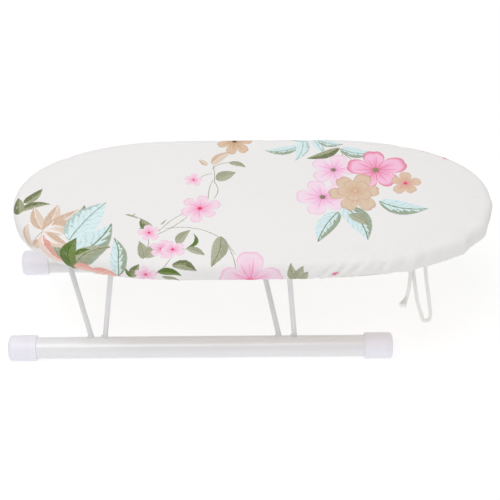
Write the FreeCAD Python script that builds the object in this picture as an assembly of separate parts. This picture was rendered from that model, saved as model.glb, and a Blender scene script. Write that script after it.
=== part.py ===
import FreeCAD, Part
import math
import os

# A small tabletop ironing board: a padded board in a drawstring cover, standing on two long
# foot tubes. Each foot is a rigid truss of one tube and two bent wire frames, and its two
# top bars push up into spring clips screwed under the board.
#
# Millimetres. +X runs along the board towards its free end, -Y is the front long side, +Z is
# up. The origin lies on the table, within a millimetre of the middle of the object's plan.

V = FreeCAD.Vector
UP = V(0, 0, 1)
ALONG = V(1, 0, 0)

# ---- overall sizes ----
BOARD_LENGTH = 521.0
BOARD_WIDTH = 202.0
TOP_HEIGHT = 184.0
FOOT_LENGTH = 437.0
FOOT_SPACING = 135.0
BOARD_X = 9.75
FEET_X = -50.25

# ---- the board's plan outline: straight sides and two rounded ends ----
END_LENGTH = 190.0
END_POWER = 2.2
OUTLINE_STEPS = 14

# ---- the layers of the board, from the top down ----
CLOTH = 0.8
PAD_THICKNESS = 9.4
PANEL_THICKNESS = 12.0
TOP_EDGE = 4.0
BOTTOM_EDGE = 2.0
PAD_INSET = 1.0
PANEL_INSET = 3.0

# ---- the hem under the board and the drawstring in it ----
HEM_INSET = 17.0
CASING_WIDTH = 7.0
CASING_DEPTH = 5.2
CORD_DIAMETER = 3.5
CORD_BEND_SHARE = 0.45
RING_INSET = HEM_INSET + 0.5 * CASING_WIDTH
RING_BELOW = 0.4
RING_ABOVE = 0.8

# ---- foot tubes and their caps ----
TUBE_RADIUS = 12.5
TUBE_WALL = 1.2
CAP_RADIUS = 15.0
CAP_LENGTH = 32.0
CAP_END_WALL = 4.0
CAP_ROUNDING = 4.5
CAP_LIP = 0.8

# ---- wire frames ----
WIRE_RADIUS = 3.0
WIRE_BEND = 11.0
BEAD_RADIUS = 3.6
BEAD_SHIFT = V(-1.4, 0, 0.6)
SEAT_DEPTH = 1.0

# Both frames stand on the inner shoulder of their tube, at these angles above level.
UPRIGHT_SHOULDER = 55.0
BRACE_SHOULDER = 45.0

# Places along the tube are from the foot's middle, at the tube and at the top bar.
UPRIGHT_FEET = (-109.0, 107.0)
UPRIGHT_TOPS = (-90.1, 97.3)
UPRIGHT_BAR_Y = -60.0
BRACE_FEET = (-124.5, 89.5)
BRACE_TOPS = (-154.6, 59.4)
BRACE_BAR_Y = -9.5

# ---- spring clips and their screws ----
CLIP_THICKNESS = 1.0
CLIP_LENGTH = 22.0
CLIP_JAW = 7.2
CLIP_FLANGE = 17.0
CLIP_PLAY = 0.08
SCREW_PITCH = 12.0
SCREW_OFFSET = 10.5
SCREW_RADIUS = 1.5
SCREW_HEAD_RADIUS = 3.0
SCREW_HEAD = 1.8
SCREW_ROUNDING = 0.9
SCREW_DEPTH = 8.0
SCREW_PLAY = 0.2
CROSS_LENGTH = 4.8
CROSS_WIDTH = 0.7
CROSS_DEPTH = 0.8
UPRIGHT_CLIPS = (-70.0, 78.0)
BRACE_CLIPS = (-128.0, 30.0)

# ---- heights that follow ----
PAD_TOP = TOP_HEIGHT - CLOTH
PANEL_TOP = PAD_TOP - PAD_THICKNESS
PANEL_BOTTOM = PANEL_TOP - PANEL_THICKNESS
CLOTH_BOTTOM = PANEL_BOTTOM - CLOTH
CASING_BOTTOM = PANEL_BOTTOM - CASING_DEPTH
TUBE_Z = CAP_RADIUS
TUBE_Y = -0.5 * FOOT_SPACING
BAR_GAP = 0.3
CLIP_UNDERSIDE = PANEL_BOTTOM - CLIP_THICKNESS
BAR_Z = CLIP_UNDERSIDE - BAR_GAP - WIRE_RADIUS

# Edges nearer than this to a place are at it.
TOUCH = 0.01

# ---- the drawstring's free ends: points along the cord, chosen to hang as it does ----
LOOP_ROUTE = (
    V(183.0, -66.5, CASING_BOTTOM),
    V(181.6, -66.9, 145.0),
    V(185.6, -67.6, 117.0),
    V(190.0, -68.2, 92.0),
    V(194.0, -68.4, 77.0),
    V(197.2, -68.2, 67.0),
    V(199.0, -67.6, 58.0),
    V(206.6, -66.6, 57.6),
    V(206.9, -66.0, 69.5),
    V(203.6, -65.4, 90.0),
    V(198.9, -64.6, 115.0),
    V(195.2, -63.8, 140.0),
    V(194.4, -63.4, 152.0),
    V(193.8, -63.2, CASING_BOTTOM),
)
TAIL_ROUTE = (
    V(177.8, -69.0, CASING_BOTTOM),
    V(178.6, -70.2, 147.0),
    V(177.6, -71.2, 125.0),
    V(175.6, -71.6, 104.0),
    V(177.4, -71.4, 86.0),
)


def superellipse(share, size):
    """A coordinate of the rounded end, from -size to size, from a cosine or sine as its share."""
    return math.copysign(abs(share) ** (2.0 / END_POWER), share) * size


def outline(inset, z):
    """The board's plan outline as a closed wire, drawn in by inset, at height z."""
    reach = END_LENGTH - inset
    half = 0.5 * BOARD_WIDTH - inset
    shoulder = 0.5 * BOARD_LENGTH - END_LENGTH
    edges = []
    for side in (1, -1):
        points = []
        for step in range(OUTLINE_STEPS + 1):
            turn = math.pi * (step / OUTLINE_STEPS - 0.5)
            x = BOARD_X + side * (shoulder + superellipse(math.cos(turn), reach))
            points.append(V(x, side * superellipse(math.sin(turn), half), z))
        curve = Part.BSplineCurve()
        curve.interpolate(points, InitialTangent=V(side, 0, 0), FinalTangent=V(-side, 0, 0))
        edges.append(curve.toShape())
        start = points[-1]
        end = V(2 * BOARD_X - points[-1].x, start.y, z)
        edges.append(Part.makeLine(start, end))
    return Part.Wire(edges)


def slab(sections):
    """A solid through plan outlines given as (inset, z), from the bottom up."""
    return Part.makeLoft([outline(inset, z) for inset, z in sections], True, True)


def straight_slab(inset, low, high):
    """The board's plan, drawn in by inset, as a plain slab."""
    return Part.Face(outline(inset, low)).extrude(V(0, 0, high - low))


def rod(start, direction, radius, length):
    return Part.makeCylinder(radius, length, start, direction)


def mirror_foot(shape):
    """The rear foot is the front one, turned half a turn about the feet's middle."""
    turned = shape.copy()
    turned.rotate(V(FEET_X, 0, 0), UP, 180)
    return turned


def bent_wire(points, bend, radius):
    """A round wire through points, with an arc of the given radius at each inner point."""
    edges = []
    start = points[0]
    for before, corner, after in zip(points, points[1:], points[2:]):
        back = (before - corner).normalize()
        ahead = (after - corner).normalize()
        half_turn = 0.5 * (math.pi - back.getAngle(ahead))
        arc_radius = bend(before, corner, after, half_turn)
        trim = arc_radius * math.tan(half_turn)
        first = corner + back * trim
        last = corner + ahead * trim
        middle_way = (back + ahead).normalize()
        to_centre = arc_radius / math.cos(half_turn)
        middle = corner + middle_way * (to_centre - arc_radius)
        edges.append(Part.LineSegment(start, first).toShape())
        edges.append(Part.Arc(first, middle, last).toShape())
        start = last
    edges.append(Part.LineSegment(start, points[-1]).toShape())
    path = Part.Wire(edges)
    direction = (points[1] - points[0]).normalize()
    section = Part.Wire([Part.Circle(points[0], direction, radius).toShape()])
    return path.makePipeShell([section], True, False)


def wire_bend(before, corner, after, half_turn):
    return WIRE_BEND


def cord_bend(before, corner, after, half_turn):
    """An arc that takes up nearly half of the shorter run beside it."""
    shorter = min((before - corner).Length, (after - corner).Length)
    return CORD_BEND_SHARE * shorter / math.tan(half_turn)


# ---- the board ----

# The flange of an upright frame's clip points to the board's middle, a brace frame's away.
SCREW_SIDE = {UPRIGHT_BAR_Y: 1, BRACE_BAR_Y: -1}


def screw_places():
    """The clip screws' places under the board, one list per foot."""
    front = []
    for bar_y, clips in ((UPRIGHT_BAR_Y, UPRIGHT_CLIPS), (BRACE_BAR_Y, BRACE_CLIPS)):
        for clip_x in clips:
            for side in (-1, 1):
                x = FEET_X + clip_x + side * 0.5 * SCREW_PITCH
                front.append(V(x, bar_y + SCREW_SIDE[bar_y] * SCREW_OFFSET, PANEL_BOTTOM))
    rear = [V(2 * FEET_X - place.x, -place.y, place.z) for place in front]
    return front, rear


def board_panel():
    panel = straight_slab(PANEL_INSET, PANEL_BOTTOM, PANEL_TOP)
    for places in screw_places():
        for place in places:
            panel = panel.cut(rod(place, UP, SCREW_RADIUS, SCREW_DEPTH))
    return panel


def foam_pad():
    return slab(
        (
            (PAD_INSET, PANEL_TOP),
            (PAD_INSET, TOP_HEIGHT - TOP_EDGE),
            (PAD_INSET + TOP_EDGE - CLOTH, PAD_TOP),
        )
    )


def casing():
    """The hem's fabric channel under the board, and the space inside it."""
    tube = straight_slab(HEM_INSET, CASING_BOTTOM, PANEL_BOTTOM)
    tube = tube.cut(straight_slab(HEM_INSET + CASING_WIDTH, CASING_BOTTOM, PANEL_BOTTOM))
    low = CASING_BOTTOM + CLOTH
    space = straight_slab(HEM_INSET + CLOTH, low, CLOTH_BOTTOM)
    space = space.cut(straight_slab(HEM_INSET + CASING_WIDTH - CLOTH, low, CLOTH_BOTTOM))
    return tube, space


def cover():
    outer = slab(
        (
            (BOTTOM_EDGE, CLOTH_BOTTOM),
            (0.0, CLOTH_BOTTOM + BOTTOM_EDGE),
            (0.0, TOP_HEIGHT - TOP_EDGE),
            (TOP_EDGE, TOP_HEIGHT),
        )
    )
    inner = slab(
        (
            (BOTTOM_EDGE, PANEL_BOTTOM),
            (CLOTH, PANEL_BOTTOM + BOTTOM_EDGE - CLOTH),
            (CLOTH, TOP_HEIGHT - TOP_EDGE),
            (TOP_EDGE, PAD_TOP),
        )
    )
    opening = straight_slab(HEM_INSET + CASING_WIDTH, CLOTH_BOTTOM - 1, PANEL_BOTTOM + 1)
    tube, space = casing()
    return outer.cut(inner).cut(opening).fuse(tube).cut(space).removeSplitter()


def drawstring_ring():
    """The drawstring pressed flat inside its casing, once round the board."""
    half = 0.5 * CORD_DIAMETER
    middle = 0.5 * (CASING_BOTTOM + PANEL_BOTTOM)
    low = middle - RING_BELOW * half
    high = middle + RING_ABOVE * half
    ring = straight_slab(RING_INSET - half, low, high)
    return ring.cut(straight_slab(RING_INSET + half, low, high))


def cord(name, route):
    """A free end of the drawstring. Its length follows from its volume."""
    radius = 0.5 * CORD_DIAMETER
    solid = bent_wire(route, cord_bend, radius)
    print(name, "length", round(solid.Volume / (math.pi * radius**2), 1))
    return solid


# ---- one foot, as the front one ----


def foot_tube():
    reach = FOOT_LENGTH - 2 * CAP_END_WALL
    start = V(FEET_X - 0.5 * reach, TUBE_Y, TUBE_Z)
    tube = rod(start, ALONG, TUBE_RADIUS, reach)
    return tube.cut(rod(start, ALONG, TUBE_RADIUS - TUBE_WALL, reach))


def edges_at(cap, x):
    """A cap's round edges at a place along its tube."""
    return [edge for edge in cap.Edges if edge.Closed and abs(edge.CenterOfMass.x - x) < TOUCH]


def end_cap(side):
    """A plastic cap pushed over the tube's end: -1 is the left end, 1 the right one."""
    end = FEET_X + side * 0.5 * FOOT_LENGTH
    way = V(-side, 0, 0)
    cap = rod(V(end, TUBE_Y, TUBE_Z), way, CAP_RADIUS, CAP_LENGTH)
    cap = cap.makeFillet(CAP_ROUNDING, edges_at(cap, end))
    cap = cap.makeFillet(CAP_LIP, edges_at(cap, end - side * CAP_LENGTH))
    bore = rod(V(end - side * CAP_END_WALL, TUBE_Y, TUBE_Z), way, TUBE_RADIUS, CAP_LENGTH)
    return cap.cut(bore)


def frame_wire(feet, tops, foot_y, foot_z, bar_y):
    """A wire bent to two legs and a top bar, its leg ends cut to sit on the tube."""
    points = [
        V(FEET_X + feet[0], foot_y, foot_z),
        V(FEET_X + tops[0], bar_y, BAR_Z),
        V(FEET_X + tops[1], bar_y, BAR_Z),
        V(FEET_X + feet[1], foot_y, foot_z),
    ]
    return bent_wire(points, wire_bend, WIRE_RADIUS).cut(tube_body())


def tube_body():
    start = V(FEET_X - 0.5 * FOOT_LENGTH, TUBE_Y, TUBE_Z)
    return rod(start, ALONG, TUBE_RADIUS, FOOT_LENGTH)


def seat(shoulder):
    """Where a frame's legs end, just inside the tube at an angle above level."""
    turn = math.radians(shoulder)
    reach = TUBE_RADIUS - SEAT_DEPTH
    return TUBE_Y + reach * math.cos(turn), TUBE_Z + reach * math.sin(turn)


def upright_frame():
    y, z = seat(UPRIGHT_SHOULDER)
    return frame_wire(UPRIGHT_FEET, UPRIGHT_TOPS, y, z, UPRIGHT_BAR_Y)


def brace_frame():
    y, z = seat(BRACE_SHOULDER)
    return frame_wire(BRACE_FEET, BRACE_TOPS, y, z, BRACE_BAR_Y)


def weld_beads(frames):
    """A small bead of weld beside each wire's end, as one group."""
    seats = [(x, seat(UPRIGHT_SHOULDER)) for x in UPRIGHT_FEET]
    seats += [(x, seat(BRACE_SHOULDER)) for x in BRACE_FEET]
    beads = []
    for x, (y, z) in seats:
        bead = Part.makeSphere(BEAD_RADIUS, V(FEET_X + x, y, z) + BEAD_SHIFT).cut(tube_body())
        for frame in frames:
            bead = bead.cut(frame)
        beads += bead.Solids
    return Part.makeCompound(beads)


def spring_clip(clip_x, bar_y):
    """A bent strip under the board whose two jaws straddle a top bar."""
    x = FEET_X + clip_x
    side = SCREW_SIDE[bar_y]
    gap = WIRE_RADIUS + CLIP_PLAY
    low = bar_y - gap - CLIP_THICKNESS
    high = bar_y + gap + CLIP_THICKNESS
    if side > 0:
        high = bar_y + CLIP_FLANGE
    else:
        low = bar_y - CLIP_FLANGE
    corner = V(x - 0.5 * CLIP_LENGTH, low, CLIP_UNDERSIDE)
    clip = Part.makeBox(CLIP_LENGTH, high - low, CLIP_THICKNESS, corner)
    for jaw_y in (bar_y - gap - CLIP_THICKNESS, bar_y + gap):
        base = V(x - 0.5 * CLIP_LENGTH, jaw_y, CLIP_UNDERSIDE - CLIP_JAW)
        clip = clip.fuse(Part.makeBox(CLIP_LENGTH, CLIP_THICKNESS, CLIP_JAW, base))
    for end in (-1, 1):
        hole = V(x + end * 0.5 * SCREW_PITCH, bar_y + side * SCREW_OFFSET, CLIP_UNDERSIDE)
        clip = clip.cut(rod(hole, UP, SCREW_RADIUS + SCREW_PLAY, CLIP_THICKNESS))
    return clip.removeSplitter()


def screw(place):
    """A pan-head wood screw driven up into the board at a place on its underside."""
    head_bottom = place - UP * (CLIP_THICKNESS + SCREW_HEAD)
    head = rod(head_bottom, UP, SCREW_HEAD_RADIUS, SCREW_HEAD)
    low_edges = [edge for edge in head.Edges if abs(edge.CenterOfMass.z - head_bottom.z) < TOUCH]
    head = head.makeFillet(SCREW_ROUNDING, low_edges)
    for size in (V(CROSS_LENGTH, CROSS_WIDTH, 0), V(CROSS_WIDTH, CROSS_LENGTH, 0)):
        base = head_bottom - size * 0.5
        head = head.cut(Part.makeBox(size.x, size.y, CROSS_DEPTH, base))
    shank = rod(place - UP * CLIP_THICKNESS, UP, SCREW_RADIUS, SCREW_DEPTH + CLIP_THICKNESS)
    return head.fuse(shank)


# ---- all the pieces ----


def pieces():
    yield "board_panel", board_panel()
    yield "foam_pad", foam_pad()
    yield "cover", cover()
    yield "drawstring_ring", drawstring_ring()
    yield "drawstring_loop", cord("drawstring_loop", LOOP_ROUTE)
    yield "drawstring_tail", cord("drawstring_tail", TAIL_ROUTE)
    upright = upright_frame()
    brace = brace_frame()
    front = {
        "tube": foot_tube(),
        "cap_left": end_cap(-1),
        "cap_right": end_cap(1),
        "upright_frame": upright,
        "brace_frame": brace,
        "weld_beads": weld_beads((upright, brace)),
    }
    for number, clip_x in enumerate(UPRIGHT_CLIPS, 1):
        front["upright_clip_%d" % number] = spring_clip(clip_x, UPRIGHT_BAR_Y)
    for number, clip_x in enumerate(BRACE_CLIPS, 1):
        front["brace_clip_%d" % number] = spring_clip(clip_x, BRACE_BAR_Y)
    for name, shape in front.items():
        yield "front_" + name, shape
        yield "rear_" + name, mirror_foot(shape)
    for foot, places in zip(("front", "rear"), screw_places()):
        yield foot + "_clip_screws", Part.makeCompound([screw(place) for place in places])


def main():
    os.makedirs("parts", exist_ok=True)
    for name, shape in pieces():
        if not shape.isValid():
            print("not valid:", name)
        print(name, "solids", len(shape.Solids), "volume", round(shape.Volume))
        shape.exportStep("parts/%s.step" % name)


main()
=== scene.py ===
import math
import random

import bmesh
import bpy
import numpy as np
from mathutils import Matrix, Vector


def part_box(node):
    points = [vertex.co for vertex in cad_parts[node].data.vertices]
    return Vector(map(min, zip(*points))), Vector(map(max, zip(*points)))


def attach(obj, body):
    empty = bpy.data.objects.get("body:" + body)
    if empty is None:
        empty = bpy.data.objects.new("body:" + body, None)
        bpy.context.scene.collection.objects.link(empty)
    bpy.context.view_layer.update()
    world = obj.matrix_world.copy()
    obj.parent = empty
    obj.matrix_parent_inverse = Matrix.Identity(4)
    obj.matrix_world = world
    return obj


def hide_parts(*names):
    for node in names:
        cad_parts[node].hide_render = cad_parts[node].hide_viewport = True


# Looks for a small tabletop ironing board: a floral cotton cover drawn tight over foam with a
# drawstring, two white foot tubes with plastic caps, and bent wire frames between them.
# Lengths in the tables are millimetres, and MM turns them into metres.

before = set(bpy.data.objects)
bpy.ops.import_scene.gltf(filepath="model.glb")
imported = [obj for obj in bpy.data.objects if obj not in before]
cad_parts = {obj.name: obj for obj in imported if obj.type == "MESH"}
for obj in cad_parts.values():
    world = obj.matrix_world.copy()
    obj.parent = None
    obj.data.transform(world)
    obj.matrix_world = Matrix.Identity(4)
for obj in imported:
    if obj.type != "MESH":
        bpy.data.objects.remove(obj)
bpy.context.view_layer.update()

MM = 0.001
WHITE = (1.0, 1.0, 1.0, 1.0)

# ---- the board's plan outline, as its CAD solids have it ----
END_LENGTH = 190 * MM
END_POWER = 2.2
COVER_LOW, COVER_HIGH = (Vector(corner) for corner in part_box("cover"))
BOARD_X = 0.5 * (COVER_LOW.x + COVER_HIGH.x)
HALF_LENGTH = 0.5 * (COVER_HIGH.x - COVER_LOW.x)
HALF_WIDTH = COVER_HIGH.y
TOP = COVER_HIGH.z

# ---- the drawstring's free ends: the CAD route's points, some of them moved or added ----
CORD_DIAMETER = 3.5 * MM
LOOP_ROUTE = (
    (181.8, -66.5, 156.6), (180.8, -66.9, 145.0), (185.6, -67.6, 117.0), (190.0, -68.2, 92.0),
    (194.0, -68.4, 77.0), (197.0, -68.2, 68.0), (198.3, -67.8, 62.0), (199.6, -67.6, 57.9),
    (203.2, -67.2, 56.4), (206.6, -66.8, 58.2), (207.7, -66.4, 62.4), (206.6, -66.0, 71.0),
    (203.6, -65.4, 90.0), (198.9, -64.6, 115.0), (195.2, -63.8, 140.0), (194.4, -63.4, 152.0),
    (193.8, -63.2, 156.6),
)
TAIL_ROUTE = (
    (177.8, -69.0, 156.6), (178.8, -70.2, 147.0), (179.0, -71.2, 125.0),
    (178.6, -71.6, 104.0), (174.0, -72.0, 87.0),
)


def tint(red, green, blue):
    """A colour as the shaders take it, from the usual steps of 0 to 255."""
    linear = []
    for step in (red, green, blue):
        part = step / 255
        linear.append(((part + 0.055) / 1.055) ** 2.4 if part > 0.04045 else part / 12.92)
    return (*linear, 1.0)


# ==== short ways to add shader nodes ====


def set_all(node, values):
    """Set a node's sockets that are the same all over the surface."""
    for label, value in values.items():
        node.inputs[label].default_value = value


class Nodes:
    """A node tree with short ways to add the nodes that these materials use."""

    def __init__(self, tree):
        self.tree = tree
        self.material = None
        self.shader = None

    def add(self, kind, **settings):
        node = self.tree.nodes.new(kind)
        for name, value in settings.items():
            setattr(node, name, value)
        return node

    def put(self, socket, value):
        """Link value to a socket, or set it there."""
        if isinstance(value, bpy.types.NodeSocket):
            self.tree.links.new(value, socket)
        else:
            socket.default_value = value

    def feed(self, node, *values):
        """Put values in a node's first sockets, and give its first output."""
        for socket, value in zip(node.inputs, values):
            self.put(socket, value)
        return node.outputs[0]

    def math(self, operation, *values, clamp=False):
        return self.feed(self.add("ShaderNodeMath", operation=operation, use_clamp=clamp), *values)

    def vector(self, operation, *values):
        return self.feed(self.add("ShaderNodeVectorMath", operation=operation), *values)

    def linear(self, value, slope, start):
        """value times slope, plus start."""
        return self.math("MULTIPLY_ADD", value, slope, start)

    def ramp(self, value, slope, start):
        """value times slope, plus start, kept from 0 to 1."""
        return self.math("MULTIPLY_ADD", value, slope, start, clamp=True)

    def times(self, first, second, clamp=False):
        return self.math("MULTIPLY", first, second, clamp=clamp)

    def less(self, first, second, clamp=False):
        return self.math("SUBTRACT", first, second, clamp=clamp)

    def sine(self, value):
        return self.math("SINE", value)

    def blend(self, factor, first, second, blend_type="MIX"):
        node = self.add("ShaderNodeMix", data_type="RGBA", blend_type=blend_type)
        for index, value in ((0, factor), (6, first), (7, second)):
            self.put(node.inputs[index], value)
        return node.outputs[2]

    def noise(self, vector, scale, detail=3.0, roughness=0.5, distortion=0.0, output=0):
        node = self.add("ShaderNodeTexNoise")
        self.put(node.inputs["Vector"], vector)
        set_all(node, {"Scale": scale, "Detail": detail, "Roughness": roughness, "Distortion": distortion})
        return node.outputs[output]

    def cells(self, vector, scale, feature="F1"):
        node = self.add("ShaderNodeTexVoronoi", feature=feature)
        self.put(node.inputs["Vector"], vector)
        node.inputs["Scale"].default_value = scale
        return node.outputs["Distance"]

    def place(self, vector, location=(0, 0, 0), turn=0.0, scale=(1, 1, 1)):
        """Coordinates seen from a place, turned by an angle, in units of scale."""
        node = self.add("ShaderNodeMapping", vector_type="TEXTURE")
        self.put(node.inputs["Vector"], vector)
        set_all(node, {"Location": location, "Rotation": (0, 0, turn), "Scale": scale})
        return node.outputs[0]

    def split(self, vector):
        node = self.add("ShaderNodeSeparateXYZ")
        self.put(node.inputs[0], vector)
        return node.outputs[0], node.outputs[1], node.outputs[2]

    def shift(self, vector, offset, scale):
        """vector plus scale times offset, less half, so that it moves both ways."""
        centred = self.vector("SUBTRACT", offset, (0.5, 0.5, 0.5))
        return self.vector("MULTIPLY_ADD", centred, (scale, scale, scale), vector)

    def surface(self, colour, normal, rough):
        """Feed the shader's main inputs."""
        for label, value in (("Base Color", colour), ("Normal", normal), ("Roughness", rough)):
            self.put(self.shader.inputs[label], value)

    def bump(self, height, distance, strength=1.0, normal=None):
        node = self.add("ShaderNodeBump")
        set_all(node, {"Strength": strength, "Distance": distance})
        self.put(node.inputs["Height"], height)
        if normal is not None:
            self.put(node.inputs["Normal"], normal)
        return node.outputs[0]


def new_material(name):
    """The nodes of an empty material with a Principled shader."""
    material = bpy.data.materials.new(name)
    material.use_nodes = True
    nodes = Nodes(material.node_tree)
    material.node_tree.nodes.clear()
    nodes.material = material
    nodes.shader = nodes.add("ShaderNodeBsdfPrincipled")
    output = nodes.add("ShaderNodeOutputMaterial")
    nodes.put(output.inputs["Surface"], nodes.shader.outputs[0])
    return nodes


def object_place(nodes):
    return nodes.add("ShaderNodeTexCoord").outputs["Object"]


# ==== the printed pattern ====

PAPER = tint(240, 238, 237)

# Petal, edge, throat and eye of each kind of flower.
FLOWER_TINTS = {
    "pink": ((249, 203, 228), (243, 166, 209), (240, 96, 156), (232, 40, 100)),
    "hot": ((251, 186, 220), (222, 22, 96), (224, 22, 92), (146, 138, 104)),
    "pale": ((251, 212, 237), (244, 182, 219), (236, 120, 180), (138, 124, 104)),
    "beige": ((221, 195, 166), (200, 144, 122), (208, 152, 128), (228, 198, 168)),
    "sand": ((223, 190, 162), (210, 160, 135), (226, 120, 140), (232, 50, 120)),
    "brown": ((220, 186, 152), (200, 158, 120), (176, 130, 92), (84, 52, 58)),
    "bud": ((236, 130, 166), (246, 206, 220), (206, 44, 96), (176, 26, 78)),
}

# How fast a petal's edge colour fades inwards: wide on the hot flower, thin on the others.
THIN_BAND = 8.0
EDGE_BANDS = {"hot": 5.0}

# How far a petal fades to the cloth's colour towards its edge.
FULL_FADE = 0.7
FADES = {"beige": 0.15, "sand": 0.2, "brown": 0.2, "hot": 0.25}

# Dark part, light part and rib of each kind of leaf, and where the dark part starts.
LEAF_TINTS = {
    "green": ((116, 124, 84), (164, 168, 134), (86, 102, 54), 0.0),
    "sage": ((166, 168, 142), (180, 182, 158), (124, 134, 92), 0.1),
    "frost": ((158, 172, 150), (216, 237, 240), (122, 140, 104), 0.3),
    "ice": ((186, 205, 200), (220, 240, 243), (160, 182, 168), 0.55),
    "petal": ((214, 184, 160), (226, 206, 188), (246, 238, 232), -0.1),
    "salmon": ((232, 172, 158), (238, 202, 186), (240, 150, 170), 0.1),
    "blush": ((226, 160, 146), (240, 214, 200), (250, 242, 236), 0.0),
    "white": ((242, 236, 234), (247, 244, 243), (236, 224, 218), 0.4),
    "deep": ((92, 118, 48), (118, 136, 72), (70, 98, 34), 0.0),
}

# Flowers: kind, centre, radius, turn in degrees, count of petals.
FLOWERS = (
    ("pink", -55, 30, 11, 10, 5), ("pink", -47, -15, 23, 20, 6), ("pink", -100, -52, 13, 30, 5),
    ("pink", -86, -76, 14, 5, 5), ("pink", -74, -77, 14, 40, 5), ("pink", -103, -110, 13, 15, 5),
    ("brown", -10, 95, 24, 50, 7), ("pale", 100, 45, 28, 0, 5), ("hot", 147, 44, 36, 20, 5),
    ("pale", 86, 1, 31, 34, 5), ("sand", 178, 22, 19, 12, 5), ("beige", 122, 8, 32, 5, 6),
    ("beige", 122, 11, 20, 41, 5), ("pink", 7, -121, 40, 18, 5), ("bud", 95, -112, 5, 20, 4),
    ("pink", 205, 80, 8, 10, 5), ("bud", 227, 66, 6, 50, 4),
)

# Leaves: kind, stalk end, tip, width as a share of length, bend. The dark half is on the left
# of the way from stalk to tip, or on the right where the width is negative.
LEAVES = (
    ("green", -238, -5, -220, 18, 0.44, -0.06), ("green", -241, -18, -208, -7, 0.34, 0.14),
    ("green", -242, -22, -245, 4, 0.6, 0.0), ("petal", -231, -66, -229, -36, 0.46, 0.1),
    ("petal", -228, -66, -214, -60, 0.8, 0.0), ("sage", -207, -50, -198, -90, 0.44, 0.1),
    ("petal", -213, -46, -226, -10, 0.44, 0.06), ("petal", -211, -46, -200, -6, 0.44, -0.04),
    ("petal", -214, -48, -176, -14, 0.46, -0.06), ("petal", -214, -48, -168, -38, 0.56, 0.02),
    ("petal", -212, -48, -180, -72, 0.44, -0.1), ("blush", -212, -50, -192, -92, 0.42, -0.16),
    ("white", -213, -47, -191, -41, 0.2, 0.12), ("white", -213, -48, -188, -55, 0.18, 0.12),
    ("white", -212, -49, -193, -68, 0.2, -0.1), ("white", -213, -47, -202, -31, 0.16, -0.08),
    ("sage", -184, -60, -172, -8, -0.42, 0.06), ("ice", -184, -62, -148, -4, 0.58, 0.04),
    ("frost", -188, -94, -140, -36, -0.52, 0.1), ("sage", -186, -100, -138, -72, -0.4, -0.1),
    ("deep", -188, -102, -176, -58, 0.5, 0.06), ("deep", -176, -82, -160, -76, 0.44, 0.1),
    ("salmon", -184, -96, -156, -106, 0.44, 0.1), ("salmon", -162, -100, -130, -114, 0.4, 0.0),
    ("frost", -134, -112, -137, -58, -0.4, 0.1), ("green", -98, -46, -110, -30, 0.66, 0.1),
    ("deep", -98, -46, -112, -46, 0.2, -0.1), ("sage", -104, -90, -110, -64, 0.5, -0.06),
    ("sage", -103, -88, -80, -68, 0.56, 0.06), ("sage", -69, -70, -56, -48, 0.5, 0.12),
    ("deep", -60, -76, -54, -52, 0.26, -0.3), ("sage", -59, -75, -40, -86, 0.5, 0.06),
    ("sage", -24, -58, -34, -101, 0.46, 0.08), ("green", -119, -114, -108, -96, 0.56, 0.06),
    ("deep", -120, -114, -124, -100, 0.4, 0.0), ("deep", -90, -106, -64, -112, 0.44, 0.1),
    ("green", -74, -98, -48, -106, 0.48, 0.14), ("sage", -86, -113, -64, -121, 0.3, 0.0),
    ("petal", -35, 55, -13, 76, 0.46, 0.1), ("petal", -40, 54, -50, 64, 0.56, 0.0),
    ("sage", -16, 58, 3, 50, 0.44, 0.1), ("sage", -30, 30, -8, 42, 0.7, 0.06),
    ("frost", 62, 84, 24, 78, 0.42, 0.1), ("ice", 67, 100, 58, 60, 0.44, 0.1),
    ("ice", 78, 102, 92, 70, 0.36, 0.0), ("ice", 74, 96, 48, 100, 0.4, 0.0),
    ("frost", 84, 96, 114, 88, -0.46, 0.1), ("green", 108, 81, 70, 64, 0.34, 0.08),
    ("frost", 110, 80, 148, 72, -0.5, 0.1), ("frost", 147, -6, 200, -18, -0.46, 0.1),
    ("frost", 107, -12, 131, -66, 0.52, 0.1), ("sage", 114, -26, 133, -44, 0.6, 0.1),
    ("frost", 102, -22, 78, -68, 0.48, -0.06), ("sage", 58, -124, 49, -96, 0.46, 0.1),
    ("sage", 56, -122, 67, -108, 0.8, 0.0), ("sage", 54, -116, 62, -100, 0.6, 0.0),
    ("sage", -127, -24, -113, -31, 0.2, 0.1), ("sage", -121, -28, -115, -22, 0.24, 0.0),
    ("sage", -88, -40, -82, -32, 0.24, 0.0),
)

# Stems: start, end, bend.
STEMS = (
    (-226, -64, -212, -48, 0.0), (-90, -50, -64, -22, 0.04), (-94, -56, -60, -28, -0.05),
    (-84, -46, -8, -86, 0.2), (-24, -60, -8, -112, 0.08), (-34, 54, -32, 24, 0.04),
    (-32, 26, -32, 0, 0.16), (-33, 30, -38, 0, -0.06), (-34, 40, -48, 33, -0.1),
    (-35, 48, -12, 58, 0.14), (-116, -27, -98, -44, 0.06), (-100, -62, -106, -84, 0.1),
    (-76, -90, -92, -108, 0.08), (-70, -72, -56, -76, -0.16), (108, 82, 112, 60, 0.06),
    (108, 82, 122, 62, -0.08), (108, 80, 96, 66, 0.1),
)


# The inputs of the print's node groups that are colours.
COLOUR_SOCKETS = ("Under", "Petal", "Edge", "Throat", "Eye", "Dark", "Light", "Rib")


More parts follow.
